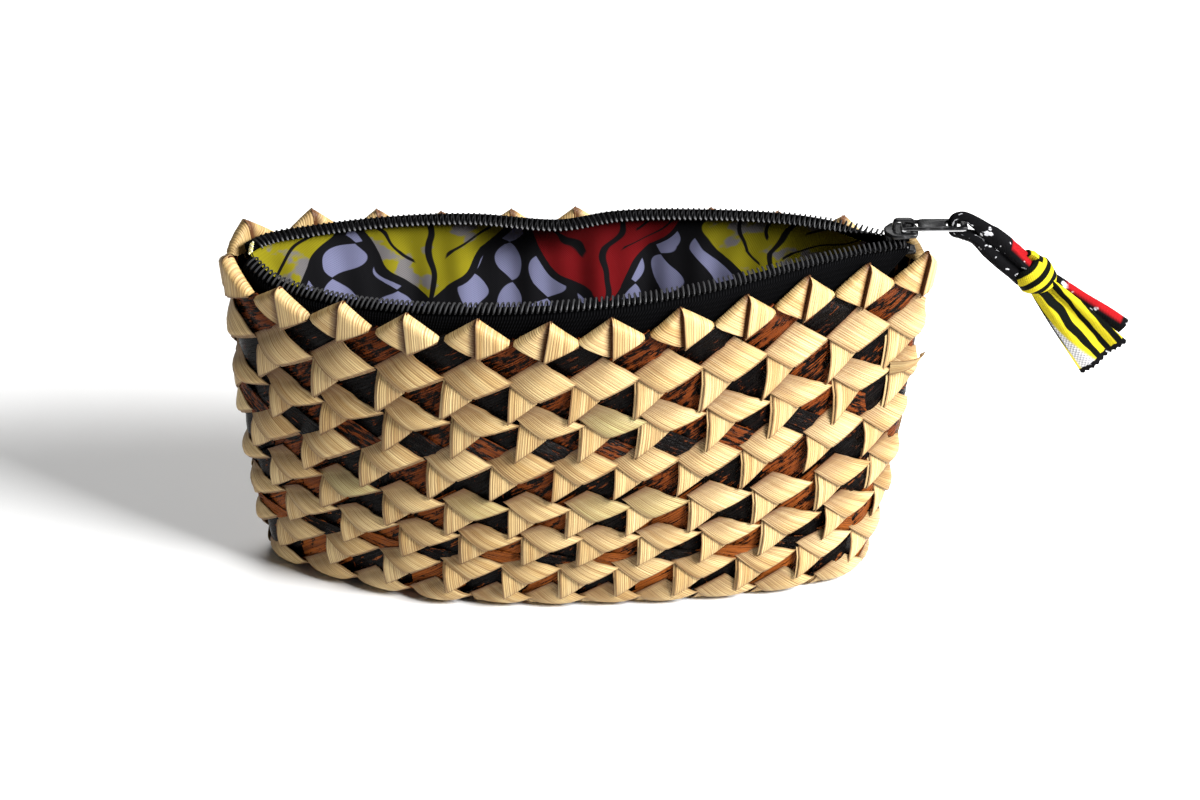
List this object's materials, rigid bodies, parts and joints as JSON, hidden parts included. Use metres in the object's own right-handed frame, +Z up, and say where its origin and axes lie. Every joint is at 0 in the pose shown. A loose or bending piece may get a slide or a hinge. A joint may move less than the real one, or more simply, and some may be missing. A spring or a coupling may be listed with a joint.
{
  "type": "woven coin purse",
  "caption": "Plaited palm-leaf zip purse, standing open: pointed rim, cloth lining, coil zip along the mouth and a knotted cloth strip on the zip's pull tab.",
  "frame": {"origin": "middle of the flat underside", "axes": "+Z up out of the mouth, -Y to the front, +X along the mouth to the end where the zip slider and its cloth pull are"},
  "size_m": [0.2031, 0.0559, 0.0898],
  "materials": {
    "palm_leaf": "dry split palm leaf, satin",
    "lining_cloth": "printed cotton",
    "zip_tape": "woven polyester tape",
    "zip_coil": "moulded nylon coil",
    "zip_metal": "black lacquer on die-cast zinc",
    "pull_cloth": "printed cotton"
  },
  "bodies": {
    "purse": {"woven_body": "palm_leaf", "lining": "lining_cloth", "zip_tape_front": "zip_tape", "zip_tape_back": "zip_tape", "zip_coil_front": "zip_coil", "zip_coil_back": "zip_coil", "zip_slider": "zip_metal"},
    "pull": {"pull_tab": "zip_metal", "cloth_pull": "pull_cloth"}
  },
  "joints": [
    {"name": "pull_hinge", "type": "hinge", "parent": "purse", "child": "pull", "pos_m": [0.0748, 0, 0.08645], "axis": [0, -1, 0], "range_deg": [0, 165]}
  ]
}
